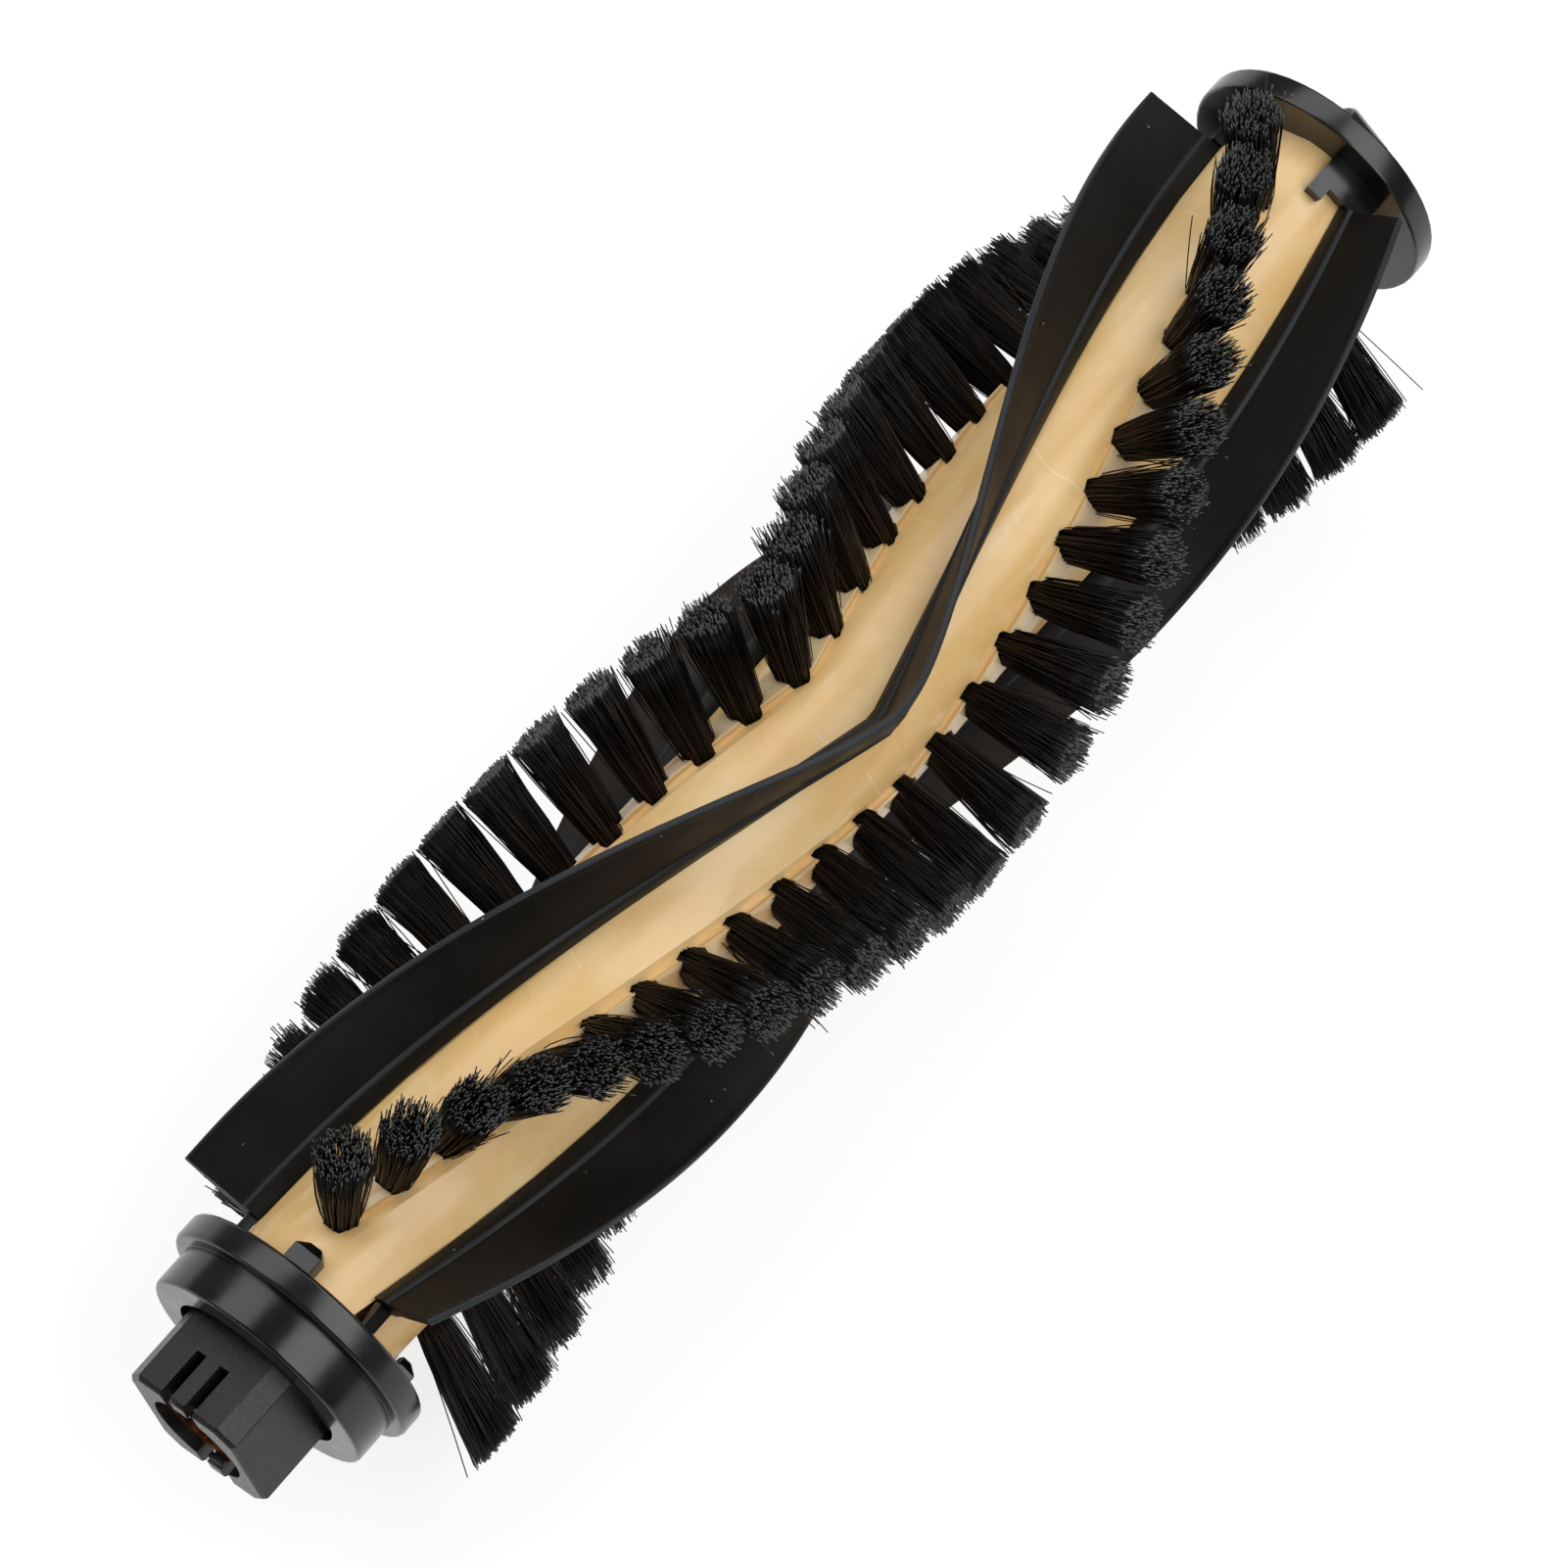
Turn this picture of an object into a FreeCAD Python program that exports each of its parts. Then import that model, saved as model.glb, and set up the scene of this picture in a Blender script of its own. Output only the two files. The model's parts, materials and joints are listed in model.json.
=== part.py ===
import FreeCAD, Part
import math
import os

# Roller brush of a robot vacuum, lying on its bristles with its axis along X.
# The bearing end is at -X, the drive end at +X, and +Z is up. Lengths are in millimetres.
# Angles about the axis are in degrees, from +Z towards -Y.

# Ends and main stations along the axis
flange_spacing = 158.3
bearing_overhang = 14.3
drive_overhang = 7.4
vertex_from_flange = 79.7

# Chevron: each row turns by the twist rate on both sides of its vertex
twist_rate = 1.5
blade_vertex_angle = 37.0
row_count = 3
section_step = 9.0
vertex_step = 3.6
turned_sides = 48

# Core: round lobes between the blade grooves and a flat land for each tuft row
core_r = 9.3
lobe_steps = 3
land_depth = 0.4
pad_height = 0.9
pad_width = 3.0
pad_root_depth = 0.6
socket_depth = 11.0
cut_margin = 0.9

# Rubber blades with a dovetail foot held in an undercut groove
blade_tip_r = 18.4
blade_tip_thickness = 0.9
blade_wall_thickness = 1.7
blade_band_thickness = 2.4
blade_band_height = 2.2
blade_neck_thickness = 1.5
blade_foot_width = 2.8
groove_depth = 3.2
blade_tip_round = 5.5
blade_gap_bearing_end = 3.4
blade_gap_drive_end = 3.4
groove_clearance = 0.08

# Bristle tufts, each folded over a flat wire anchor at the bottom of its hole
tuft_pitch = 5.8
tuft_shift = 1.75
tuft_tip_r = 21.8
tuft_tip_gap = 0.6
tuft_mouth_width = 3.3
tuft_sides = 6
tuft_end_gap = 0.9
tuft_lean = 1.5
tuft_side_lean = -0.5
tuft_side_lean_rate = 0.0225
hole_depth = 2.8
tuft_clearance = 0.05
anchor_clearance = 0.15
anchor_height = 1.5
anchor_thickness = 0.4
rest_press = 0.25

# Bearing end cap: flange, open drum, stub axle and square spigot in one moulding
flange_lip = 1.5
flange_thickness = 3.0
flange_round = 0.5
drum_wall = 3.3
drum_length = 4.5
drum_round = 0.4
drum_bore_depth = 3.8
axle_r = 4.15
axle_from_end = 1.9
spigot_width = 5.6
spigot_end_gap = 1.0
spigot_clearance = 0.05

# Tabs of the bearing end cap that lie on the core
tab_width = 3.2
tab_length = 3.2
tab_height = 1.9
tab_chamfer = 0.9
tab_angle_from_row = 16.0
stop_width = 1.6
stop_height = 1.2
seat_clearance = 0.05

# Drive end cap: disc, skirts beside the blade ends and a square peg
disc_thickness = 2.8
disc_round = 0.4
peg_width = 7.0
peg_edge_chamfer = 0.6
peg_corner_chamfer = 0.6
skirt_thickness = 1.3
skirt_length = 3.3
skirt_start = -30.5
skirt_end = 9.0
skirt_steps = 5
tongue_length = 1.5
tongue_span = 10.0
merge_depth = 0.5

# Bearing block that turns on the stub axle
block_width = 13.8
block_chamfer = 1.8
block_end_chamfer = 0.4
block_angle = -16.4
collar_sink = 0.7
collar_length = 1.5
collar_clearance = 0.7
neck_r = 6.4
thrust_gap = 0.4
slot_width = 1.15
slot_spacing = 3.0
slot_length = 5.4
lip_height = 0.6
lip_length = 0.7
lip_from_end = 0.3

# Bronze bush pressed into the block
bush_wall = 0.95
bush_from_end = 1.2
running_clearance = 0.05
bush_clearance = 0.02

# Worked-out stations: the overall length is centred on the origin
length = bearing_overhang + flange_spacing + drive_overhang
x_flange = bearing_overhang - length / 2
x_disc = x_flange + flange_spacing
x_vertex = x_flange + vertex_from_flange
x_core_start = x_flange + flange_thickness / 2
x_core_end = x_disc - disc_thickness / 2
x_block_end = -length / 2
x_peg_end = length / 2
x_blade_start = x_core_start + blade_gap_bearing_end
x_blade_end = x_core_end - blade_gap_drive_end
x_drum_back = x_flange - flange_thickness / 2
x_drum_mouth = x_drum_back - drum_length
x_drum_floor = x_drum_mouth + drum_bore_depth
x_collar = x_drum_mouth + collar_sink
x_tufts = x_vertex + tuft_shift

# Worked-out radii, from the core outwards and from the block outwards
land_r = core_r - land_depth
pad_top_r = land_r + pad_height
cut_r = max(core_r, pad_top_r) + cut_margin
groove_floor_r = core_r - groove_depth
hole_floor_r = land_r - hole_depth
tuft_floor_r = hole_floor_r + tuft_clearance
tuft_tip_width = tuft_pitch - tuft_tip_gap
socket_width = spigot_width + 2 * spigot_clearance
spigot_length = socket_depth - spigot_end_gap
seat_r = core_r + seat_clearance
collar_r = math.hypot(block_width / 2, block_width / 2 - block_chamfer)
drum_bore_r = collar_r + collar_clearance
drum_r = drum_bore_r + drum_wall
flange_r = drum_r + flange_lip
bush_bore_r = axle_r + running_clearance
bush_r = bush_bore_r + bush_wall
block_bore_r = bush_r + bush_clearance

# Worked-out angles and rest height
row_step = 360.0 / row_count
tuft_row_angle = blade_vertex_angle + row_step / 2
axis_height = tuft_tip_r - rest_press

X_AXIS = FreeCAD.Vector(1, 0, 0)
ORIGIN = FreeCAD.Vector(0, 0, 0)
LIFT = FreeCAD.Vector(0, 0, axis_height)


def chevron_angle(x, vertex_angle):
    """Angle about the axis of a row at one station."""
    return vertex_angle - twist_rate * abs(x - x_vertex)


def place(shape, x, angle):
    """Copy of a shape built with +Z radial, set at a station and turned about the axis."""
    moved = shape.copy()
    turn = FreeCAD.Rotation(X_AXIS, angle)
    moved.Placement = FreeCAD.Placement(FreeCAD.Vector(x, 0, 0), turn).multiply(shape.Placement)
    return moved


def polar_point(x, across, radius, angle):
    """Point at a station, across the radial line and along it."""
    a = math.radians(angle)
    y = across * math.cos(a) - radius * math.sin(a)
    z = across * math.sin(a) + radius * math.cos(a)
    return FreeCAD.Vector(x, y, z)


def flat_face(points):
    """Face with straight edges through points that lie in one plane."""
    return Part.Face(Part.makePolygon(points + points[:1]))


def faceted_solid(rings, flat_sides):
    """Solid through rings of points. Sides that turn between two rings are split into two triangles."""
    faces = [flat_face(rings[0]), flat_face(rings[-1])]
    for ring, following in zip(rings, rings[1:]):
        for i in range(len(ring)):
            a, b = ring[i - 1], ring[i]
            c, d = following[i], following[i - 1]
            if flat_sides:
                faces.append(flat_face([a, b, c, d]))
            else:
                faces += [flat_face([a, b, c]), flat_face([a, c, d])]
    solid = Part.Solid(Part.Shell(faces))
    if solid.Volume < 0:
        solid.reverse()
    return solid


def shared_stations():
    """Stations that the core, its pads and the blades share, so that their turned sides stay parallel."""
    xs = [x_blade_start, x_vertex, x_blade_end]
    for reach in (x_blade_start - x_vertex, x_blade_end - x_vertex):
        count = round(abs(reach) / section_step)
        xs.append(x_vertex + math.copysign(vertex_step, reach))
        xs += [x_vertex + reach * i / count for i in range(1, count)]
    return sorted(xs)


def chevron_solid(outline, x_from, x_to, vertex_angle):
    """Solid of a V-shaped run: the outline's points (across, radius, further angle) turned on the way."""
    xs = [x_from] + [x for x in shared_stations() if x_from < x < x_to] + [x_to]
    rings = []
    for x in xs:
        base = chevron_angle(x, vertex_angle)
        rings.append([polar_point(x, across, radius, base + more) for across, radius, more in outline(x)])
    return faceted_solid(rings, False)


def turned(corners):
    """Many-sided body about the axis from corners (x, radius, rounding). A rounding is two flats."""
    outline = []
    for i, (x, r, rounding) in enumerate(corners):
        here = FreeCAD.Vector(x, r, 0)
        if rounding == 0:
            outline.append(here)
            continue
        neighbours = [FreeCAD.Vector(*corners[j][:2], 0) for j in (i - 1, i + 1)]
        towards = [(neighbour - here).normalize() * rounding for neighbour in neighbours]
        middle = here + (towards[0] + towards[1]) * (1 - math.sqrt(0.5))
        outline += [here + towards[0], middle, here + towards[1]]
    angles = [360 * i / turned_sides for i in range(turned_sides)]
    rings = [[polar_point(p.x, 0, p.y, angle) for angle in angles] for p in outline if p.y > 0]
    return faceted_solid(rings, True)


def sector(x_from, x_to, r_from, r_to, angle_from, angle_to):
    """Piece of a many-sided ring about the axis between two angles."""
    corners = ((x_from, r_from), (x_to, r_from), (x_to, r_to), (x_from, r_to))
    angles = [angle_from + (angle_to - angle_from) * i / skirt_steps for i in range(skirt_steps + 1)]
    return faceted_solid([[polar_point(x, 0, r, angle) for x, r in corners] for angle in angles], True)


def blade_section(x):
    """Outline of a blade: dovetail foot, thick root band and tapered wall."""
    foot_floor = groove_floor_r + groove_clearance
    # Near the vertex the free edge cuts the corner of the V, so the wall leans there
    away = abs(x - x_vertex)
    lag = math.hypot(away, blade_tip_round) - away
    half = [(blade_foot_width / 2, foot_floor, 0),
            (blade_neck_thickness / 2, seat_r, 0),
            (blade_band_thickness / 2, seat_r, 0),
            (blade_wall_thickness / 2, seat_r + blade_band_height, 0),
            (blade_tip_thickness / 2, blade_tip_r, -twist_rate * lag)]
    return [(-across, radius, more) for across, radius, more in half] + half[::-1]


def core_section(x):
    """Outline of the core: for each blade its groove, and a lobe on each side of the next land."""
    foot = blade_foot_width / 2 + groove_clearance
    neck = blade_neck_thickness / 2 + groove_clearance
    neck_r = math.sqrt(core_r ** 2 - neck ** 2)
    lobe_start = math.degrees(math.asin(neck / core_r))
    lobe_end = row_step / 2 - math.degrees(math.acos(land_r / core_r))
    lobe = [lobe_start + (lobe_end - lobe_start) * i / lobe_steps for i in range(1, lobe_steps + 1)]
    outline = []
    for turn in row_angles(0):
        outline += [(neck, neck_r, turn), (foot, groove_floor_r, turn)]
        outline += [(-foot, groove_floor_r, turn), (-neck, neck_r, turn)]
        outline += [(0, core_r, turn + angle) for angle in lobe]
        outline += [(0, core_r, turn + row_step - angle) for angle in reversed(lobe)]
    return outline


def pad_section(x):
    """Outline of the raised strip that the tuft holes divide into pads."""
    half = pad_width / 2
    root = land_r - pad_root_depth
    return [(half, root, 0), (half, pad_top_r, 0), (-half, pad_top_r, 0), (-half, root, 0)]


def tuft_stations(side):
    """Stations of one arm's tufts, from the vertex outwards: side -1 is the bearing arm, 1 the drive arm."""
    if side < 0:
        room = x_tufts - x_core_start - tab_length
    else:
        room = x_core_end - x_tufts - skirt_length
    count = int((room - tuft_mouth_width / 2 - tuft_end_gap) / tuft_pitch + 0.5)
    return [x_tufts + side * (i + 0.5) * tuft_pitch for i in range(count)]


def row_angles(vertex_angle):
    """Angles of the like rows, evenly spread about the axis."""
    return [vertex_angle + row_step * k for k in range(row_count)]


def brush_core():
    """Moulded core: lobes, lands and undercut grooves, with pads, tuft holes and square end sockets."""
    core = chevron_solid(core_section, x_core_start, x_core_end, blade_vertex_angle)
    tuft_xs = sorted(tuft_stations(-1) + tuft_stations(1))
    rows = row_angles(tuft_row_angle)
    core = core.fuse([chevron_solid(pad_section, tuft_xs[0], tuft_xs[-1], angle) for angle in rows])
    tools = [square_bar(x, socket_depth, socket_width) for x in (x_core_start, x_core_end - socket_depth)]
    for x in tuft_xs:
        hole = tuft_body(x, hole_floor_r, cut_r, tuft_clearance)
        tools += [place(hole, x, chevron_angle(x, angle)) for angle in rows]
    return core.cut(tools)


def blade(vertex_angle):
    """One rubber blade in a V, with its free edge rounded over the vertex."""
    return chevron_solid(blade_section, x_blade_start, x_blade_end, vertex_angle)


def tuft_offset(x, radius):
    """How far a tuft has leant along the axis and across it at one radius."""
    part = (radius - land_r) / (tuft_tip_r - land_r)
    side_lean = tuft_side_lean + tuft_side_lean_rate * (x - x_vertex)
    return tuft_lean * part, side_lean * part


def tuft_width(radius):
    """Width of a tuft at one radius, from its stem to its flared tip."""
    part = (radius - land_r) / (tuft_tip_r - land_r)
    return tuft_mouth_width + (tuft_tip_width - tuft_mouth_width) * part


def tuft_ring(x, radius, clearance):
    """Outline of a tuft at one radius, with +Z radial."""
    corner_r = (tuft_width(radius) / 2 + clearance) / math.cos(math.pi / tuft_sides)
    along, across = tuft_offset(x, radius)
    points = []
    for i in range(tuft_sides):
        a = 2 * math.pi * (i + 0.5) / tuft_sides
        offset = FreeCAD.Vector(math.cos(a), math.sin(a), 0) * corner_r
        points.append(FreeCAD.Vector(along, across, radius) + offset)
    return points


def tuft_body(x, r_from, r_to, clearance):
    """Flared body of a tuft between two radii, leaning as the tuft of that station does."""
    return faceted_solid([tuft_ring(x, r_from, clearance), tuft_ring(x, r_to, clearance)], True)


def tuft_arm(stations_of_arm, vertex_angle):
    """The tufts of one arm. Tips that would pass the resting surface are pressed flat on it."""
    reach = 4 * tuft_tip_r
    below = Part.makeBox(2 * length, reach, reach, FreeCAD.Vector(-length, -reach / 2, -reach - axis_height))
    fold_width = anchor_thickness + 2 * tuft_clearance
    fold_top = tuft_floor_r + anchor_height + tuft_clearance
    tufts = []
    for x in stations_of_arm:
        across = tuft_offset(x, tuft_floor_r)[1]
        start = FreeCAD.Vector(-tuft_tip_width, across - fold_width / 2, hole_floor_r)
        fold = Part.makeBox(2 * tuft_tip_width, fold_width, fold_top - hole_floor_r, start)
        tuft = tuft_body(x, tuft_floor_r, tuft_tip_r, 0).cut(fold)
        tuft = place(tuft, x, chevron_angle(x, vertex_angle))
        if tuft.BoundBox.ZMin < -axis_height:
            tuft = tuft.cut(below)
        tufts += tuft.Solids
    return Part.makeCompound(tufts)


def anchor_arm(stations_of_arm, vertex_angle):
    """The flat wire anchors in the folds of one arm's tufts."""
    anchor_length = tuft_width(hole_floor_r) - 2 * anchor_clearance
    anchors = []
    for x in stations_of_arm:
        along, across = tuft_offset(x, tuft_floor_r)
        start = FreeCAD.Vector(along - anchor_length / 2, across - anchor_thickness / 2, tuft_floor_r)
        anchor = Part.makeBox(anchor_length, anchor_thickness, anchor_height, start)
        anchors.append(place(anchor, x, chevron_angle(x, vertex_angle)))
    return Part.makeCompound(anchors)


def flat_tab(width, tab_reach, height, chamfer):
    """Tab with +Z radial that starts inside the flange, with a sloped nose and sides cut in at its end."""
    start = FreeCAD.Vector(-merge_depth, -width / 2, seat_r)
    tab = Part.makeBox(tab_reach + merge_depth, width, height, start)
    if chamfer == 0:
        return tab
    end_edges = [e for e in tab.Edges if e.BoundBox.XMin > tab_reach / 2]
    return tab.makeChamfer(chamfer, [e for e in end_edges if e.BoundBox.ZMax > seat_r + height / 2])


def square_bar(x_from, bar_length, width):
    """Square bar along the axis."""
    return Part.makeBox(bar_length, width, width, FreeCAD.Vector(x_from, -width / 2, -width / 2))


def bearing_end_cap():
    """Flange, drum, stub axle and square spigot in one, with tabs on the core side."""
    corners = [
        (x_drum_mouth, 0, 0),
        (x_drum_mouth, drum_r, drum_round),
        (x_drum_back, drum_r, 0),
        (x_drum_back, flange_r, flange_round),
        (x_core_start, flange_r, flange_round),
        (x_core_start, 0, 0),
    ]
    cap = turned(corners)
    bore = turned([(x_drum_mouth, drum_bore_r, 0), (x_drum_floor, drum_bore_r, 0)])
    cap = cap.cut(bore)
    x_axle = x_block_end + axle_from_end
    axle_length = x_drum_floor + merge_depth - x_axle
    axle = Part.makeCylinder(axle_r, axle_length, FreeCAD.Vector(x_axle, 0, 0), X_AXIS)
    spigot = square_bar(x_core_start - merge_depth, spigot_length + merge_depth, spigot_width)
    pieces = [axle, spigot]
    tab = flat_tab(tab_width, tab_length, tab_height, tab_chamfer)
    stop = flat_tab(stop_width, blade_gap_bearing_end - seat_clearance, stop_height, 0)
    for angle in row_angles(tuft_row_angle):
        pieces.append(place(tab, x_core_start, chevron_angle(x_core_start, angle) + tab_angle_from_row))
    for angle in row_angles(blade_vertex_angle):
        pieces.append(place(stop, x_core_start, chevron_angle(x_blade_start, angle)))
    return cap.fuse(pieces)


def drive_end_cap():
    """Disc with a square peg outside, and a square spigot, skirts and tongues on the core side."""
    x_back = x_disc + disc_thickness / 2
    corners = [
        (x_core_end, 0, 0),
        (x_core_end, flange_r, disc_round),
        (x_back, flange_r, disc_round),
        (x_back, 0, 0),
    ]
    cap = turned(corners)
    peg_length = x_peg_end - x_back + merge_depth
    peg = square_bar(0, peg_length, peg_width)
    peg = peg.makeChamfer(peg_corner_chamfer, [e for e in peg.Edges if e.BoundBox.XLength > peg_length / 2])
    peg = peg.makeChamfer(peg_edge_chamfer, [e for e in peg.Edges if e.BoundBox.XMin > peg_length / 2])
    pieces = [place(peg, x_back - merge_depth, blade_vertex_angle),
              square_bar(x_core_end - spigot_length, spigot_length + merge_depth, spigot_width)]
    skirt_r = seat_r + skirt_thickness
    x_root = x_core_end + merge_depth
    x_skirt = x_core_end - skirt_length
    for angle in row_angles(chevron_angle(x_blade_end, blade_vertex_angle)):
        start = angle + skirt_start
        tongue_end = start + tongue_span
        skirt = sector(x_skirt, x_root, seat_r, skirt_r, start, angle + skirt_end)
        pieces.append(skirt.fuse(sector(x_skirt - tongue_length, x_root, seat_r, skirt_r, start, tongue_end)))
    return cap.fuse(pieces)


def bearing_block():
    """Square block on a round collar and neck, bored for the bush, with slotted snap tongues."""
    half = block_width / 2
    cut = half - block_chamfer
    square = [(cut, half), (half, cut), (half, -cut), (cut, -half),
              (-cut, -half), (-half, -cut), (-half, cut), (-cut, half)]
    points = [FreeCAD.Vector(x_block_end, y, z) for y, z in square]
    outline = flat_face(points)
    block = outline.extrude(X_AXIS * (x_collar - x_block_end))
    end_edges = [e for e in block.Edges if e.BoundBox.XMax < x_block_end + block_end_chamfer / 2]
    block = block.makeChamfer(block_end_chamfer, end_edges)
    x_neck = x_drum_floor - thrust_gap
    x_step = x_collar + collar_length
    steps = [(x_collar, collar_r, 0), (x_step, collar_r, 0), (x_step, neck_r, 0), (x_neck, neck_r, 0)]
    block = block.fuse(turned(steps))
    bore = Part.makeCylinder(block_bore_r, x_neck - x_block_end, FreeCAD.Vector(x_block_end, 0, 0), X_AXIS)
    block = block.cut(bore)
    lip_r = block_bore_r - lip_height
    tongue_width = slot_spacing - slot_width
    lip = Part.makeBox(lip_length, tongue_width, half - lip_r - block_end_chamfer,
                       FreeCAD.Vector(x_block_end + lip_from_end, -tongue_width / 2, lip_r))
    slots = []
    for y in (-slot_spacing / 2, slot_spacing / 2):
        start = FreeCAD.Vector(x_block_end, y - slot_width / 2, lip_r)
        slots.append(Part.makeBox(slot_length, slot_width, half, start))
    for turn in (0, 180):
        block = block.fuse(place(lip, 0, turn))
        block = block.cut([place(slot, 0, turn) for slot in slots])
    return place(block, 0, block_angle)


def bearing_bush():
    """Plain bush between the stub axle and the block."""
    x_from = x_block_end + bush_from_end
    bush_length = x_drum_floor - thrust_gap - x_from
    start = FreeCAD.Vector(x_from, 0, 0)
    outside = Part.makeCylinder(bush_r, bush_length, start, X_AXIS)
    return outside.cut(Part.makeCylinder(bush_bore_r, bush_length, start, X_AXIS))


def write(name, shape):
    """Lift a piece so that the pressed tips rest at height zero, and write it."""
    lifted = shape.copy()
    lifted.translate(LIFT)
    lifted.exportStep("parts/" + name + ".step")


os.makedirs("parts", exist_ok=True)
write("brush_core", brush_core())
for number, angle in enumerate(row_angles(blade_vertex_angle), start=1):
    write("blade_%d" % number, blade(angle))
for number, angle in enumerate(row_angles(tuft_row_angle), start=1):
    for arm, side in (("bearing", -1), ("drive", 1)):
        xs = tuft_stations(side)
        write("tufts_%d_%s_arm" % (number, arm), tuft_arm(xs, angle))
        write("anchors_%d_%s_arm" % (number, arm), anchor_arm(xs, angle))
write("bearing_end_cap", bearing_end_cap())
write("drive_end_cap", drive_end_cap())
write("bearing_block", bearing_block())
write("bearing_bush", bearing_bush())
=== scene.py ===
"""Looks of a robot vacuum roller brush: bristles, finishes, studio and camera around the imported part."""

import json
import math

import bmesh
import bpy
import numpy as np
from mathutils import Matrix, Vector


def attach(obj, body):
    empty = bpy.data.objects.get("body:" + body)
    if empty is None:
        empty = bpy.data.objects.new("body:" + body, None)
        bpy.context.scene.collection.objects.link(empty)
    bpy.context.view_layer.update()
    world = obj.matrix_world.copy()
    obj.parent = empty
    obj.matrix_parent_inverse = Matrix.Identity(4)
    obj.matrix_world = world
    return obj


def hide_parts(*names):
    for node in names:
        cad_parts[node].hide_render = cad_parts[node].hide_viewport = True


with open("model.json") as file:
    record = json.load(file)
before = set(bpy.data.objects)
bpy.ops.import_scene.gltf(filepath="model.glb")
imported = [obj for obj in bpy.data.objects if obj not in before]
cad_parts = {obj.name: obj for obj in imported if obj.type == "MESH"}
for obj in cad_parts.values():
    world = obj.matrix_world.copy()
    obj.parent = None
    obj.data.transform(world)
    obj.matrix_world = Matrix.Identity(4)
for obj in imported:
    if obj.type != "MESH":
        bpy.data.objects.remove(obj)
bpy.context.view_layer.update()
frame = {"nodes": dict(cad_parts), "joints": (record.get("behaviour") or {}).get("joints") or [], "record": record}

# Lengths are in metres and angles in degrees, unless a comment or a name says otherwise.
MM = 0.001

# Photograph's camera
IMAGE_PX = 1601
FOCAL_PX = 6000.0
SENSOR_MM = 36.0
CAMERA_ELEVATION = 65.67
CAMERA_HEADING = 38.909
CAMERA_DISTANCE = 574.4 * MM
AIM_X = 3.43 * MM
AIM_RIGHT = 4.296 * MM
AIM_UP = 5.473 * MM
CLIP_START = 10.0 * MM

# Roller
AXIS_Z = frame["joints"][0]["pos_m"][2]
ROWS = (1, 2, 3)
ARMS = ("bearing", "drive")
TURNING_NODE = "bearing_block"
CORE_R = 9.3 * MM
PAD_TOP_R = 9.8 * MM
MOULD_LINE_PITCH = 11.6 * MM
BUSH_R = 5.15 * MM

# Smooth copies of solids
WELD = 0.002 * MM
FLAT_ANGLE = 0.5
ROUNDED_EDGE_ANGLE = 28.0
SHARP_EDGE_ANGLE = 32.0
CAP_EDGE_ROUND = 0.12 * MM
BLOCK_EDGE_ROUND = 0.1 * MM

# Bristles: how many, their filaments, and how a bundle fans out from its hole to its cut tips
BRISTLE_SEED = 11
BRISTLES_PER_TUFT = 380
BRISTLE_SIDES = 3
BRISTLE_RADIUS = 0.075 * MM
BRISTLE_RINGS = 5
BUNDLE_RADIUS = 1.62 * MM
FAN_RADIUS = 2.85 * MM
BRISTLE_FOOT_R = 7.2 * MM
LAND_R = 8.9 * MM
FOOT_ZONE_R = 7.4 * MM
TIP_ZONE_R = 16.0 * MM
SPREAD_POWER = 0.46
FAN_POWER = 1.05
TIP_TRIM = -0.1 * MM
TIP_LONGEST = 0.15 * MM
TIP_SCATTER = 0.2 * MM
FAN_SCATTER = 0.24 * MM
BOW_SCATTER = 0.22 * MM
STRAY_SHARE = 0.09
STRAY_SCATTER = 0.95 * MM
FLOOR_CLEARANCE = 0.03 * MM
BRISTLE_TIP_R = 21.8 * MM
GOLDEN_TURN = math.pi * (3.0 - math.sqrt(5.0))

# Tufts bent towards the bearing end: place along the axis and shift of the tips there for each row, in mm
SWEEP_AT = {
    1: ((-52.0, 0.0), (-38.0, -2.2), (-15.0, -2.8), (6.0, -2.8), (11.0, -2.0), (17.0, 0.0)),
    2: ((-66.0, -5.4), (-60.0, -4.2), (-49.0, -2.6), (-30.0, -1.0), (-15.0, 0.0),
        (20.0, 0.0), (48.0, -2.2), (61.0, -4.2), (73.0, -5.6)),
    3: ((0.0, 0.0),),
}

# Blades: the V along the axis with its twist in degrees per metre, then half thickness and radius in mm
X_VERTEX = 4.0 * MM
BLADE_ENDS = (-70.8 * MM, 77.8 * MM)
BLADE_ANGLES = (37.0, 157.0, 277.0)
TWIST = 1500.0
BLADE_STEP = 1.2 * MM
BLADE_SHARP_ANGLE = 40.0
TIP_ROUND = 5.5 * MM
LAG_START_R = 11.55 * MM
BLADE_TIP_R = 18.4 * MM
BLADE_HALF = (
    (1.40, 6.18), (0.75, 9.35), (1.10, 9.35), (1.18, 9.45), (1.18, 11.05), (1.12, 11.2), (0.84, 11.45),
    (0.66, 14.4), (0.45, 17.3), (0.42, 17.5), (0.44, 17.75), (0.45, 18.0), (0.40, 18.25), (0.24, 18.38),
)

# Where painted light starts and ends: the blades' thin part painted brown for light coming through it and their
# ledge painted pale as a highlight, the bristles' roots painted brown for light coming through them and their cut
# tips painted grey as a highlight
BROWN_FULL_RUN = 5.0 * MM
BROWN_END_RUN = 40.0 * MM
LIP_FOOT_R = 11.5 * MM
LIP_MIDDLE_R = 15.0 * MM
BAND_TOP_R = 11.2 * MM
LEDGE_END_R = 11.45 * MM
BROWN_FULL_R = 10.0 * MM
BROWN_END_R = 19.0 * MM
CUT_TIP_DEPTH = 0.42 * MM

# Dust specks: least random value that gets one, and where its edge starts
SPECK_CHOICE = 0.72
SPECK_EDGE = 0.6

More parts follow.
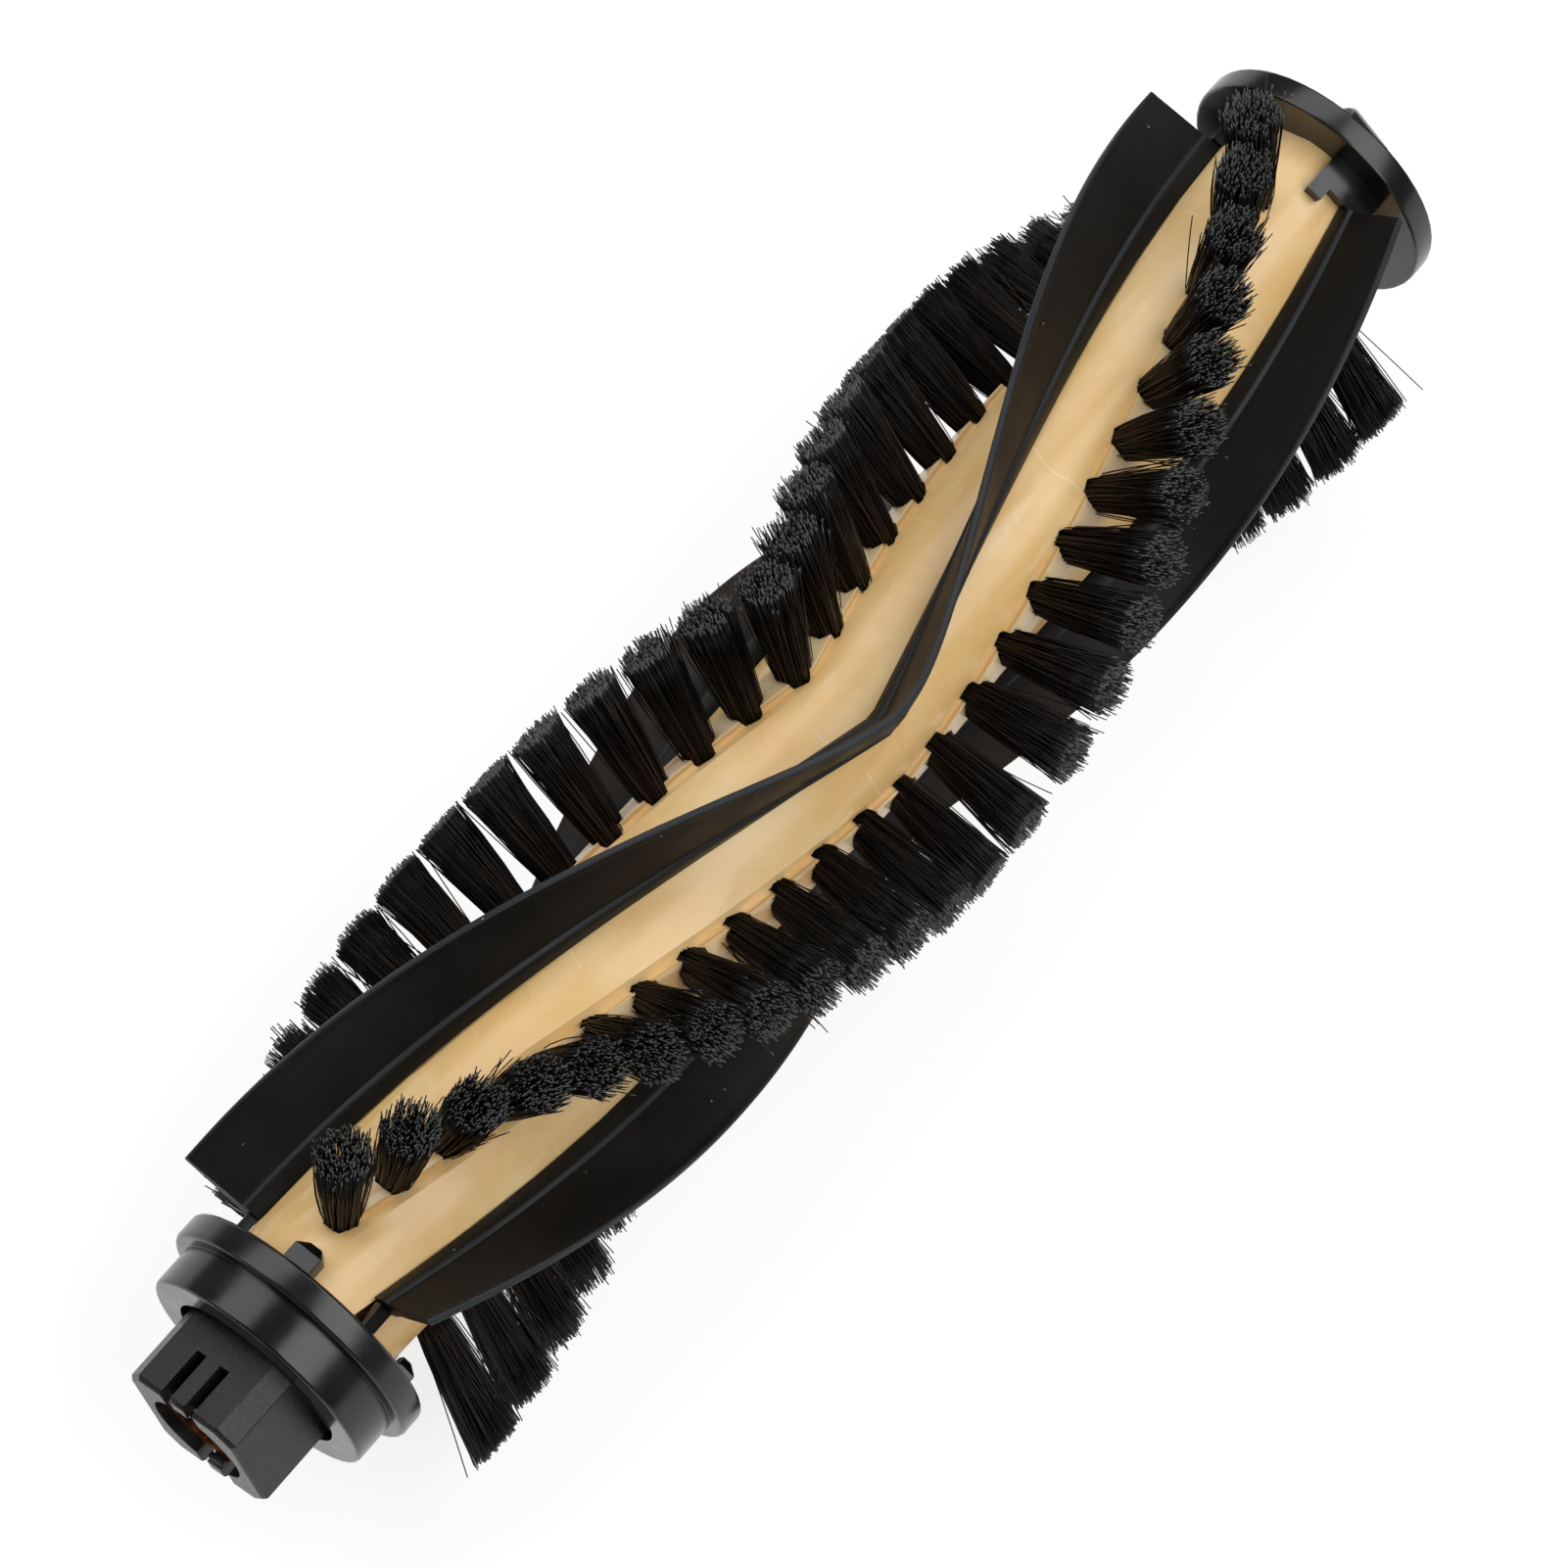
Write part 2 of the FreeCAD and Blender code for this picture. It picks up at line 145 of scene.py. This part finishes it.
# Floor and studio: each soft box has its place, its length and width, and its power in watts
FLOOR_SIZE = 6.0
FLOOR_GREY = (0.86, 0.86, 0.86, 1.0)
FLOOR_GLOW = 1.15
FLOOR_GLOW_SHARE = 0.7
WHITE = (1.0, 1.0, 1.0, 1.0)
DOME_STRENGTH = 0.16
SOFT_BOXES = {
    "key": ((0.16, -0.44, 0.65), 1.0, 0.55, 5.3),
    "fill": ((0.16, 0.40, 0.69), 1.7, 0.5, 5.9),
}


def new_material(name):
    """A material with its node tree and its principled shader."""
    material = bpy.data.materials.new(name)
    material.use_nodes = True
    tree = material.node_tree
    return material, tree, tree.nodes["Principled BSDF"]


def node(tree, kind, settings=None, **inputs):
    """Add a shader node, set its options and plain inputs, and link sockets.

    A name like _0 is an input's number.
    """
    made = tree.nodes.new(kind)
    for option, value in (settings or {}).items():
        setattr(made, option, value)
    for name, value in inputs.items():
        socket = made.inputs[int(name[1:])] if name[0] == "_" and name[1:].isdigit() else made.inputs[name]
        if isinstance(value, bpy.types.NodeSocket):
            tree.links.new(value, socket)
        else:
            socket.default_value = value
    return made


def math_node(tree, operation, first, second=0.0, clamp=False):
    """Result of a math operation on sockets or numbers."""
    made = node(tree, "ShaderNodeMath", {"operation": operation, "use_clamp": clamp}, _0=first, _1=second)
    return made.outputs[0]


def object_position(tree):
    """Place on the part, in its own frame."""
    return node(tree, "ShaderNodeTexCoord").outputs["Object"]


def noise(tree, position, scale, detail=3.0, roughness=0.55):
    """Soft random value from 0 to 1 that varies over the part."""
    made = node(tree, "ShaderNodeTexNoise", Vector=position, Scale=scale, Detail=detail,
                Roughness=roughness)
    return made.outputs["Fac"]


def ramp(tree, value, low, high, start=0.0, end=1.0):
    """Smooth map of a value from one range to another."""
    made = node(tree, "ShaderNodeMapRange", {"interpolation_type": "SMOOTHSTEP"}, Value=value)
    for name, number in (("From Min", low), ("From Max", high), ("To Min", start), ("To Max", end)):
        made.inputs[name].default_value = number
    return made.outputs["Result"]


def mix_colour(tree, factor, first, second):
    """Colour between two colours."""
    made = tree.nodes.new("ShaderNodeMix")
    made.data_type = "RGBA"
    for socket, value in ((made.inputs[0], factor), (made.inputs[6], first), (made.inputs[7], second)):
        if isinstance(value, bpy.types.NodeSocket):
            tree.links.new(value, socket)
        else:
            socket.default_value = value
    return made.outputs[2]


def bump(tree, height, strength, distance):
    """Normal that follows a height."""
    made = node(tree, "ShaderNodeBump", Height=height, Strength=strength, Distance=distance)
    return made.outputs["Normal"]


def linear(red, green, blue):
    """Shader colour of an 8-bit screen colour."""
    def channel(value):
        v = value / 255.0
        return v / 12.92 if v <= 0.04045 else ((v + 0.055) / 1.055) ** 2.4
    return (channel(red), channel(green), channel(blue), 1.0)


def specks(tree, position, scale, size):
    """Sparse small dots: 1 on a speck and 0 beside it."""
    cells = node(tree, "ShaderNodeTexVoronoi", {"feature": "F1"}, Vector=position, Scale=scale,
                 Randomness=1.0)
    chosen = node(tree, "ShaderNodeSeparateColor", Color=cells.outputs["Color"])
    few = math_node(tree, "GREATER_THAN", chosen.outputs[0], SPECK_CHOICE)
    dot = ramp(tree, cells.outputs["Distance"], size, size * SPECK_EDGE)
    return math_node(tree, "MULTIPLY", few, dot)


def place_along(tree, position):
    """Place along the roller's axis."""
    return node(tree, "ShaderNodeSeparateXYZ", Vector=position).outputs["X"]


def axis_radius(tree, position):
    """Distance from the roller's axis."""
    split = node(tree, "ShaderNodeSeparateXYZ", Vector=position)
    height = math_node(tree, "SUBTRACT", split.outputs["Z"], AXIS_Z)
    square = math_node(tree, "MULTIPLY", split.outputs["Y"], split.outputs["Y"])
    square = math_node(tree, "ADD", square, math_node(tree, "MULTIPLY", height, height))
    return math_node(tree, "SQRT", square)


def core_plastic():
    """Tan moulded plastic: warm, a little cloudy, with flow marks and fine mould lines, and painted shade on the
    pads' sides and a painted highlight on their tops.
    """
    material, tree, shader = new_material("core_plastic")
    position = object_position(tree)
    radius = axis_radius(tree, position)
    cloud = noise(tree, position, 55.0, 4.0)
    stretched = node(tree, "ShaderNodeMapping", Vector=position, Scale=(0.25, 1.0, 1.0)).outputs[0]
    flow = noise(tree, stretched, 260.0, 3.0)
    base = mix_colour(tree, ramp(tree, cloud, 0.35, 0.68), linear(226, 187, 124), linear(236, 204, 150))
    base = mix_colour(tree, ramp(tree, flow, 0.54, 0.74, 0.0, 0.5), base, linear(214, 168, 104))
    base = mix_colour(tree, ramp(tree, flow, 0.44, 0.28, 0.0, 0.5), base, linear(243, 218, 172))
    turns = math_node(tree, "MULTIPLY", place_along(tree, position), 1.0 / MOULD_LINE_PITCH)
    wander = ramp(tree, noise(tree, position, 70.0, 1.0), 0.3, 0.7, -0.15, 0.15)
    wave = math_node(tree, "PINGPONG", math_node(tree, "ADD", turns, wander), 0.5)
    line = ramp(tree, wave, 0.012, 0.004)
    broken = ramp(tree, noise(tree, position, 150.0, 1.0), 0.5, 0.6, 0.0, 0.45)
    base = mix_colour(tree, math_node(tree, "MULTIPLY", line, broken), base, linear(240, 222, 188))
    # Painted shade: the pads' sides a darker brown tan.
    pad_side_shade = ramp(tree, radius, CORE_R + 0.02 * MM, CORE_R + 0.12 * MM)
    base = mix_colour(tree, pad_side_shade, base, linear(206, 165, 112))
    # Painted highlight: the pads' tops a paler tan.
    pad_top_highlight = ramp(tree, radius, PAD_TOP_R - 0.12 * MM, PAD_TOP_R - 0.02 * MM)
    base = mix_colour(tree, pad_top_highlight, base, linear(224, 198, 154))
    tree.links.new(base, shader.inputs["Base Color"])
    shader.inputs["Subsurface Weight"].default_value = 0.22
    shader.inputs["Subsurface Radius"].default_value = (1.0, 0.55, 0.25)
    shader.inputs["Subsurface Scale"].default_value = 1.2 * MM
    tree.links.new(ramp(tree, cloud, 0.3, 0.7, 0.26, 0.36), shader.inputs["Roughness"])
    grain = noise(tree, position, 2600.0, 2.0)
    tree.links.new(bump(tree, grain, 0.12, 0.05 * MM), shader.inputs["Normal"])
    return material


def blade_rubber():
    """Black rubber with a soft sheen and dust specks, painted light making the thin part browner, and painted
    highlights making the lip and the ledge paler.
    """
    material, tree, shader = new_material("blade_rubber")
    position = object_position(tree)
    radius = axis_radius(tree, position)
    cloud = noise(tree, position, 70.0, 4.0)
    dark = mix_colour(tree, ramp(tree, cloud, 0.35, 0.7), linear(13, 13, 13), linear(21, 20, 19))
    # Painted light: browner where light comes through the thin rubber near the V.
    off_vertex = math_node(tree, "SUBTRACT", place_along(tree, position), X_VERTEX)
    off_vertex = math_node(tree, "ABSOLUTE", off_vertex)
    thin = math_node(tree, "MULTIPLY", ramp(tree, off_vertex, BROWN_END_RUN, BROWN_FULL_RUN, 0.0, 0.7),
                     ramp(tree, radius, LIP_FOOT_R, LIP_MIDDLE_R))
    dark = mix_colour(tree, thin, dark, linear(47, 36, 25))
    # Painted highlight: the lip paler grey along the blade's tip.
    lip = ramp(tree, radius, BLADE_TIP_R - 0.35 * MM, BLADE_TIP_R - 0.1 * MM, 0.0, 0.8)
    dark = mix_colour(tree, lip, dark, linear(44, 47, 50))
    # Painted highlight: the root band's ledge paler where it catches light.
    ledge_highlight = math_node(tree, "MULTIPLY", ramp(tree, radius, BAND_TOP_R - 0.2 * MM, BAND_TOP_R, 0.0, 0.7),
                      ramp(tree, radius, LEDGE_END_R + 0.15 * MM, LEDGE_END_R))
    dark = mix_colour(tree, ledge_highlight, dark, linear(46, 48, 50))
    dust = specks(tree, position, 420.0, 0.055)
    base = mix_colour(tree, dust, dark, linear(150, 148, 144))
    tree.links.new(base, shader.inputs["Base Color"])
    tree.links.new(ramp(tree, cloud, 0.3, 0.75, 0.42, 0.6), shader.inputs["Roughness"])
    shader.inputs["Specular IOR Level"].default_value = 0.2
    grain = noise(tree, position, 3800.0, 2.0)
    tree.links.new(bump(tree, grain, 0.15, 0.04 * MM), shader.inputs["Normal"])
    return material


def bristle_nylon():
    """Black nylon: brown where light comes through the filaments, a painted grey highlight on the cut tips."""
    material, tree, shader = new_material("bristle_nylon")
    position = object_position(tree)
    radius = axis_radius(tree, position)
    strand = node(tree, "ShaderNodeNewGeometry").outputs["Random Per Island"]
    # Painted light: brown where light comes through the filaments, most near the roots.
    brown = math_node(tree, "MULTIPLY", ramp(tree, strand, 0.45, 1.0),
                      ramp(tree, radius, BROWN_END_R, BROWN_FULL_R, 0.25, 1.0))
    body = mix_colour(tree, brown, linear(13, 12, 12), linear(66, 47, 31))
    # Painted highlight: the cut tips paler grey where they catch light.
    tip = ramp(tree, radius, BRISTLE_TIP_R - CUT_TIP_DEPTH, BRISTLE_TIP_R)
    base = mix_colour(tree, tip, body, linear(84, 86, 88))
    tree.links.new(base, shader.inputs["Base Color"])
    tree.links.new(ramp(tree, strand, 0.0, 1.0, 0.34, 0.5), shader.inputs["Roughness"])
    shader.inputs["Specular IOR Level"].default_value = 0.25
    return material


def cap_plastic():
    """Black moulded plastic with a satin shine and faint handling marks."""
    material, tree, shader = new_material("cap_plastic")
    position = object_position(tree)
    cloud = noise(tree, position, 160.0, 5.0, 0.65)
    base = mix_colour(tree, ramp(tree, cloud, 0.4, 0.75), linear(11, 12, 13), linear(18, 19, 20))
    dust = specks(tree, position, 520.0, 0.06)
    tree.links.new(mix_colour(tree, dust, base, linear(100, 98, 95)), shader.inputs["Base Color"])
    tree.links.new(ramp(tree, cloud, 0.3, 0.75, 0.18, 0.28), shader.inputs["Roughness"])
    grain = noise(tree, position, 1500.0, 3.0)
    tree.links.new(bump(tree, grain, 0.06, 0.05 * MM), shader.inputs["Normal"])
    return material


def block_plastic():
    """Matt dark grey plastic with a fine spark texture."""
    material, tree, shader = new_material("block_plastic")
    position = object_position(tree)
    spark = noise(tree, position, 3200.0, 4.0, 0.7)
    cloud = noise(tree, position, 240.0, 3.0)
    base = mix_colour(tree, ramp(tree, cloud, 0.35, 0.7), linear(15, 16, 17), linear(24, 26, 27))
    base = mix_colour(tree, ramp(tree, spark, 0.5, 0.75, 0.0, 0.5), base, linear(48, 48, 48))
    tree.links.new(base, shader.inputs["Base Color"])
    tree.links.new(ramp(tree, spark, 0.3, 0.7, 0.26, 0.42), shader.inputs["Roughness"])
    shader.inputs["Specular IOR Level"].default_value = 0.34
    tree.links.new(bump(tree, spark, 0.4, 0.06 * MM), shader.inputs["Normal"])
    return material


def bush_bronze():
    """Sintered bronze with fine pores."""
    material, tree, shader = new_material("bush_bronze")
    position = object_position(tree)
    pores = noise(tree, position, 2400.0, 3.0)
    radius = axis_radius(tree, position)
    base = mix_colour(tree, ramp(tree, pores, 0.4, 0.7), linear(128, 76, 48), linear(164, 104, 68))
    outside = ramp(tree, radius, BUSH_R - 0.12 * MM, BUSH_R - 0.04 * MM)
    base = mix_colour(tree, outside, base, linear(22, 16, 12))
    tree.links.new(base, shader.inputs["Base Color"])
    shader.inputs["Metallic"].default_value = 1.0
    tree.links.new(ramp(tree, pores, 0.3, 0.7, 0.3, 0.5), shader.inputs["Roughness"])
    tree.links.new(bump(tree, pores, 0.2, 0.04 * MM), shader.inputs["Normal"])
    return material


def anchor_wire():
    """Drawn steel wire with fine lines."""
    material, tree, shader = new_material("anchor_wire")
    position = object_position(tree)
    lines = noise(tree, position, 1800.0, 2.0)
    base = mix_colour(tree, lines, linear(150, 147, 142), linear(190, 187, 182))
    tree.links.new(base, shader.inputs["Base Color"])
    shader.inputs["Metallic"].default_value = 1.0
    tree.links.new(ramp(tree, lines, 0.3, 0.7, 0.3, 0.45), shader.inputs["Roughness"])
    return material


def dress_nodes(materials):
    """Give each CAD node the material of its slot."""
    for subpart in frame["record"]["subparts"]:
        part = frame["nodes"][subpart["node"]]
        part.data.materials.clear()
        part.data.materials.append(materials[subpart["material_slot"]])


def smooth_copy(name, node_name, slot, edge_round=0.0):
    """Piece with a CAD node's own form, smooth over shallow edges, with sharp edges softened if asked."""
    source = frame["nodes"][node_name].data
    shape = bmesh.new()
    corners = [shape.verts.new(v.co) for v in source.vertices]
    for polygon in source.polygons:
        shape.faces.new([corners[i] for i in polygon.vertices])
    bmesh.ops.remove_doubles(shape, verts=shape.verts, dist=WELD)
    flat = math.radians(FLAT_ANGLE)
    bmesh.ops.dissolve_limit(shape, angle_limit=flat, verts=shape.verts, edges=shape.edges)
    if edge_round:
        least = math.radians(ROUNDED_EDGE_ANGLE)
        sharp = [e for e in shape.edges if len(e.link_faces) == 2 and e.calc_face_angle() > least]
        bmesh.ops.bevel(shape, geom=sharp, offset=edge_round, segments=2, profile=0.5, affect="EDGES")
    mesh = bpy.data.meshes.new(name)
    shape.to_mesh(mesh)
    shape.free()
    mesh.shade_smooth()
    mesh.set_sharp_from_angle(angle=math.radians(SHARP_EDGE_ANGLE))
    piece = add_piece(name, mesh, node_name, slot)
    piece.modifiers.new("normals", "WEIGHTED_NORMAL").keep_sharp = True


def add_piece(name, mesh, node_name, slot):
    """Visual piece of the roller or the bearing in place of a CAD node."""
    piece = bpy.data.objects.new(name, mesh)
    bpy.context.scene.collection.objects.link(piece)
    mesh.materials.append(finishes[slot])
    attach(piece, "bearing" if node_name == TURNING_NODE else "roller")
    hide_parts(node_name)
    return piece


def add_blade(number, vertex_angle):
    """Rubber blade with its dovetail foot, root band and rounded lip, in small steps along the V."""
    half = np.array(BLADE_HALF) * MM
    across = np.concatenate([half[:, 0], -half[::-1, 0]])
    radius = np.concatenate([half[:, 1], half[::-1, 1]])
    start, end = BLADE_ENDS
    stations = np.linspace(start, end, int((end - start) / BLADE_STEP))
    away = np.abs(stations - X_VERTEX)
    lag = np.sqrt(away ** 2 + TIP_ROUND ** 2) - away
    part = np.clip((radius - LAG_START_R) / (BLADE_TIP_R - LAG_START_R), 0.0, None)
    angle = np.radians(vertex_angle - TWIST * (away[:, None] + lag[:, None] * part[None, :]))
    y = across * np.cos(angle) - radius * np.sin(angle)
    z = across * np.sin(angle) + radius * np.cos(angle) + AXIS_Z
    points = np.stack([np.repeat(stations[:, None], len(across), axis=1), y, z], axis=2).reshape(-1, 3)
    count = len(across)
    faces = [list(range(count))[::-1], list(range(len(points) - count, len(points)))]
    for s in range(len(stations) - 1):
        for i in range(count):
            j = (i + 1) % count
            faces.append([s * count + i, s * count + j, (s + 1) * count + j, (s + 1) * count + i])
    mesh = bpy.data.meshes.new("rubber_blade_%d" % number)
    mesh.from_pydata(points.tolist(), [], faces)
    mesh.shade_smooth()
    mesh.set_sharp_from_angle(angle=math.radians(BLADE_SHARP_ANGLE))
    add_piece("rubber_blade_%d" % number, mesh, "blade_%d" % number, "blade_rubber")


def tuft_places(name):
    """Foot middle and tip middle of each tuft of a CAD node, in order along the axis."""
    shape = bmesh.new()
    shape.from_mesh(frame["nodes"][name].data)
    bmesh.ops.remove_doubles(shape, verts=shape.verts, dist=WELD)
    left = set(shape.verts)
    places = []
    while left:
        group = [left.pop()]
        for vertex in group:
            near = [edge.other_vert(vertex) for edge in vertex.link_edges]
            near = [other for other in near if other in left]
            left.difference_update(near)
            group.extend(near)
        points = np.array([vertex.co for vertex in group], float)
        radius = np.hypot(points[:, 1], points[:, 2] - AXIS_Z)
        feet = points[radius < FOOT_ZONE_R]
        tips = points[radius > TIP_ZONE_R]
        foot_middle = (feet.min(axis=0) + feet.max(axis=0)) / 2
        tip_middle = (tips.min(axis=0) + tips.max(axis=0)) / 2
        places.append((foot_middle, tip_middle))
    shape.free()
    return sorted(places, key=lambda place: place[0][0])


def tuft_bristles(foot, tip_middle, sweep, random):
    """Centre lines of one tuft's bristles, as an array of bristles by rings by xyz."""
    count = BRISTLES_PER_TUFT
    foot_r = math.hypot(foot[1], foot[2] - AXIS_Z)
    tip_r = math.hypot(tip_middle[1], tip_middle[2] - AXIS_Z)
    mouth = foot + (tip_middle - foot) * (LAND_R - foot_r) / (tip_r - foot_r)
    angle = math.atan2(-mouth[1], mouth[2] - AXIS_Z)
    radial = np.array([0.0, -math.sin(angle), math.cos(angle)])
    sideways = np.array([0.0, -math.cos(angle), -math.sin(angle)])
    along = np.array([1.0, 0.0, 0.0])
    axis = np.array([0.0, 0.0, AXIS_Z])
    lean = np.array([(tip_middle - mouth) @ along + sweep, (tip_middle - mouth) @ sideways])
    spread = ((np.arange(count) + 0.5) / count) ** SPREAD_POWER
    turn = (np.arange(count) + random.random()) * GOLDEN_TURN
    side = np.stack([spread * np.cos(turn), spread * np.sin(turn)], axis=1)
    tip = side * FAN_RADIUS + random.normal(0.0, FAN_SCATTER, (count, 2))
    stray = random.random(count) < STRAY_SHARE
    tip[stray] += random.normal(0.0, STRAY_SCATTER, (stray.sum(), 2))
    reach = BRISTLE_TIP_R + np.minimum(random.normal(TIP_TRIM, TIP_SCATTER, count), TIP_LONGEST)
    bow = random.normal(0.0, BOW_SCATTER, (count, 2))
    lines = np.zeros((count, BRISTLE_RINGS, 3))
    for ring in range(BRISTLE_RINGS):
        t = ring / (BRISTLE_RINGS - 1)
        fan = t ** FAN_POWER
        r = BRISTLE_FOOT_R + (reach - BRISTLE_FOOT_R) * t
        leant = lean * ((r - LAND_R) / (BRISTLE_TIP_R - LAND_R))[:, None]
        offset = side * BUNDLE_RADIUS * (1 - fan) + tip * fan + bow * (4 * t * (1 - t)) + leant
        lines[:, ring] = (axis + np.array([mouth[0], 0.0, 0.0]) + r[:, None] * radial
                          + offset[:, :1] * along + offset[:, 1:] * sideways)
    lines[:, :, 2] = np.maximum(lines[:, :, 2], BRISTLE_RADIUS + FLOOR_CLEARANCE)
    return lines


def bristle_mesh(name, lines):
    """Thin closed filaments along centre lines."""
    count, rings = lines.shape[:2]
    sides = BRISTLE_SIDES
    heading = lines[:, -1] - lines[:, 0]
    heading /= np.linalg.norm(heading, axis=1, keepdims=True)
    first = np.cross(heading, np.array([1.0, 0.0, 0.0]))
    first /= np.linalg.norm(first, axis=1, keepdims=True)
    second = np.cross(heading, first)
    corners = []
    for k in range(sides):
        a = 2 * math.pi * k / sides
        corners.append(BRISTLE_RADIUS * (math.cos(a) * first + math.sin(a) * second))
    ring_points = lines[:, :, None, :] + np.stack(corners, axis=1)[:, None, :, :]
    vertices = ring_points.reshape(-1, 3)
    start = np.arange(count) * rings * sides
    lower = start[:, None, None, None] + (np.arange(rings - 1) * sides)[None, :, None, None]
    k = np.arange(sides)[None, None, :, None]
    following = (k + 1) % sides
    upper = lower + sides
    quads = [lower + k, lower + following, upper + following, upper + k]
    quads = np.concatenate(quads, axis=3).reshape(-1, 4)
    feet = start[:, None] + np.arange(sides)[None, ::-1]
    tips = start[:, None] + (rings - 1) * sides + np.arange(sides)[None, :]
    mesh = bpy.data.meshes.new(name)
    mesh.from_pydata(vertices.tolist(), [], quads.tolist() + feet.tolist() + tips.tolist())
    mesh.shade_smooth()
    return mesh


def add_bristles():
    """Bristle bundles in place of the plain tuft solids, one piece for each arm of each row."""
    random = np.random.default_rng(BRISTLE_SEED)
    for row in ROWS:
        for arm in ARMS:
            place = "%d_%s_arm" % (row, arm)
            tufts = []
            for foot, tip in tuft_places("tufts_" + place):
                sweep = np.interp(foot[0], *(np.array(SWEEP_AT[row]).T * MM))
                tufts.append(tuft_bristles(foot, tip, sweep, random))
            mesh = bristle_mesh("bristles_" + place, np.concatenate(tufts))
            add_piece("bristles_" + place, mesh, "tufts_" + place, "bristle_nylon")


def add_floor():
    """Wide pale floor. The camera sees it near white, with the object's shadow."""
    bpy.ops.mesh.primitive_plane_add(size=FLOOR_SIZE, location=(0.0, 0.0, 0.0))
    floor = bpy.context.object
    floor.name = "floor"
    material, tree, shader = new_material("floor_white")
    tree.nodes.remove(shader)
    diffuse = node(tree, "ShaderNodeBsdfDiffuse", Color=FLOOR_GREY)
    glow = node(tree, "ShaderNodeEmission", Color=WHITE, Strength=FLOOR_GLOW)
    rays = node(tree, "ShaderNodeLightPath")
    seen = math_node(tree, "ADD", rays.outputs["Is Camera Ray"], rays.outputs["Is Glossy Ray"])
    seen = math_node(tree, "ADD", seen, rays.outputs["Is Transmission Ray"], clamp=True)
    share = math_node(tree, "MULTIPLY", seen, FLOOR_GLOW_SHARE)
    mixed = node(tree, "ShaderNodeMixShader", _0=share, _1=diffuse.outputs[0], _2=glow.outputs[0])
    tree.links.new(mixed.outputs[0], tree.nodes["Material Output"].inputs["Surface"])
    floor.data.materials.append(material)


def add_light(name, place, length, width, power):
    """Long soft box beside the roller that points at its middle."""
    data = bpy.data.lights.new(name, "AREA")
    data.shape = "RECTANGLE"
    data.size = length
    data.size_y = width
    data.energy = power
    lamp = bpy.data.objects.new(name, data)
    lamp.location = place
    lamp.rotation_euler = (Vector((0.0, 0.0, AXIS_Z)) - Vector(place)).to_track_quat("-Z", "Y").to_euler()
    bpy.context.scene.collection.objects.link(lamp)


def add_studio():
    """Dim even dome with a long soft box on each side of the roller."""
    world = bpy.data.worlds.new("studio")
    bpy.context.scene.world = world
    world.use_nodes = True
    dome = world.node_tree.nodes["Background"]
    dome.inputs["Color"].default_value = WHITE
    dome.inputs["Strength"].default_value = DOME_STRENGTH
    for name, (place, length, width, power) in SOFT_BOXES.items():
        add_light(name, place, length, width, power)


def add_camera():
    """Camera of the photograph: heading and elevation, with the aim point's place in the picture."""
    heading = math.radians(CAMERA_HEADING)
    elevation = math.radians(CAMERA_ELEVATION)
    ahead = Vector((math.cos(heading), math.sin(heading), 0.0))
    upright = Vector((0.0, 0.0, 1.0))
    right = Vector((math.sin(heading), -math.cos(heading), 0.0))
    forward = ahead * math.cos(elevation) - upright * math.sin(elevation)
    up = ahead * math.sin(elevation) + upright * math.cos(elevation)
    aim = Vector((AIM_X, 0.0, AXIS_Z))
    place = aim - right * AIM_RIGHT - up * AIM_UP - forward * CAMERA_DISTANCE
    data = bpy.data.cameras.new("camera")
    data.sensor_width = SENSOR_MM
    data.lens = SENSOR_MM * FOCAL_PX / IMAGE_PX
    data.clip_start = CLIP_START
    camera = bpy.data.objects.new("camera", data)
    camera.matrix_world = Matrix.Translation(place) @ Matrix((right, up, -forward)).transposed().to_4x4()
    bpy.context.scene.collection.objects.link(camera)
    bpy.context.scene.camera = camera


finishes = {
    "core_plastic": core_plastic(),
    "blade_rubber": blade_rubber(),
    "bristle_nylon": bristle_nylon(),
    "anchor_wire": anchor_wire(),
    "cap_plastic": cap_plastic(),
    "block_plastic": block_plastic(),
    "bush_bronze": bush_bronze(),
}
dress_nodes(finishes)
smooth_copy("core_body", "brush_core", "core_plastic")
smooth_copy("bearing_cap_body", "bearing_end_cap", "cap_plastic", CAP_EDGE_ROUND)
smooth_copy("drive_cap_body", "drive_end_cap", "cap_plastic")
smooth_copy("block_body", TURNING_NODE, "block_plastic", BLOCK_EDGE_ROUND)
for number, vertex_angle in enumerate(BLADE_ANGLES, start=1):
    add_blade(number, vertex_angle)
add_bristles()
add_floor()
add_studio()
add_camera()
bpy.context.scene.view_settings.view_transform = "Standard"
